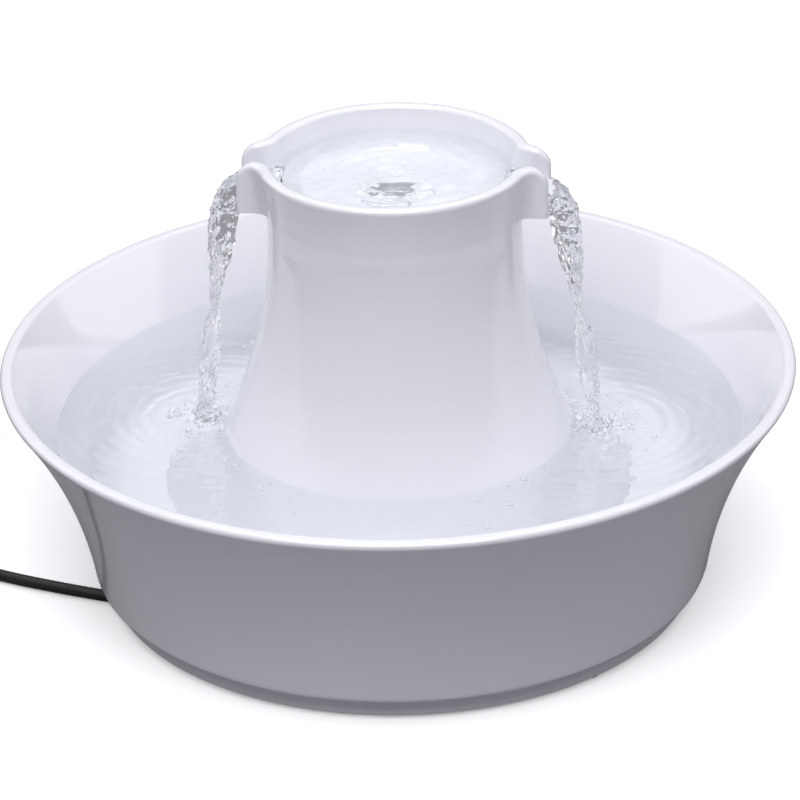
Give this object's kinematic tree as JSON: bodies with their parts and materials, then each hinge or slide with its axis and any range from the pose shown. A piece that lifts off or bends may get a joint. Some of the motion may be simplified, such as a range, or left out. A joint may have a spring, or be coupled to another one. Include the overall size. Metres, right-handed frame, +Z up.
{
  "type": "pet water fountain",
  "caption": "Ceramic pet water fountain: round drinking bowl, hourglass tower with an upper dish, free-falling streams, pump, filters and corded adaptor.",
  "frame": {"origin": "on the floor under the middle of the bowl, measured without the free cord", "axes": "+Z up, the two spouts point along +X and -X, the pump's intake faces -Y"},
  "size_m": [0.375, 0.275, 0.1602],
  "materials": {
    "glaze": "glossy white glaze",
    "foot_rubber": "matte black rubber",
    "cord_rubber": "satin black cord jacket",
    "silicone": "translucent white silicone",
    "riser_plastic": "glossy off-white plastic",
    "pump_plastic": "fine matte black plastic",
    "cover_plastic": "semi-gloss black plastic",
    "impeller_plastic": "white nylon",
    "magnet": "dark sintered ferrite",
    "shaft_ceramic": "polished ceramic",
    "core_steel": "laminated steel",
    "copper": "enamelled copper wire",
    "bobbin_plastic": "nylon",
    "tray_plastic": "pale grey plastic",
    "foam": "open-cell black foam",
    "filter_plastic": "white plastic",
    "charcoal": "coarse black granules",
    "filter_cloth": "white non-woven pad",
    "adaptor_plastic": "fine matte black plastic",
    "blade_metal": "plated brass"
  },
  "bodies": {
    "base": {"bowl": "glaze", "foot_pads": "foot_rubber", "riser_tube": "riser_plastic", "pump_body": "pump_plastic", "suction_cups": "foot_rubber", "pump_back_cover": "cover_plastic", "pump_gland": "cord_rubber", "stator_core": "core_steel", "coil_bobbin": "bobbin_plastic", "coil_windings": "copper", "volute_cover": "cover_plastic", "volute_o_ring": "foot_rubber", "impeller_shaft": "shaft_ceramic", "shaft_bushes": "foot_rubber", "intake_plate": "cover_plastic", "filter_tray": "tray_plastic", "cord_plug": "cord_rubber", "pump_lead": "cord_rubber", "adaptor_body": "adaptor_plastic", "adaptor_back": "adaptor_plastic", "plug_blades": "blade_metal", "adaptor_boot": "cord_rubber", "power_cord": "cord_rubber", "cord_coil": "cord_rubber", "cord_tail": "cord_rubber", "cord_tie": "cord_rubber"},
    "tower": {"tower": "glaze", "riser_seal": "silicone"},
    "impeller": {"impeller": "impeller_plastic", "rotor_magnet": "magnet"},
    "flow_slider": {"flow_slider": "pump_plastic"},
    "foam": {"foam_filter": "foam"},
    "carbon": {"carbon_frame": "filter_plastic", "carbon_granules": "charcoal", "filter_pads": "filter_cloth"}
  },
  "joints": [
    {"name": "tower_lift", "type": "slide", "parent": "base", "child": "tower", "axis": [0, 0, 1], "range_m": [0, 0.14]},
    {"name": "impeller_spin", "type": "hinge", "parent": "base", "child": "impeller", "pos_m": [0, 0.01, 0.035], "axis": [0, 1, 0], "continuous": true},
    {"name": "flow_slide", "type": "slide", "parent": "base", "child": "flow_slider", "axis": [1, 0, 0], "range_m": [0, 0.007]},
    {"name": "foam_lift", "type": "slide", "parent": "base", "child": "foam", "axis": [0, 0, 1], "range_m": [0, 0.031]},
    {"name": "carbon_lift", "type": "slide", "parent": "base", "child": "carbon", "axis": [0, 0, 1], "range_m": [0, 0.031]}
  ]
}
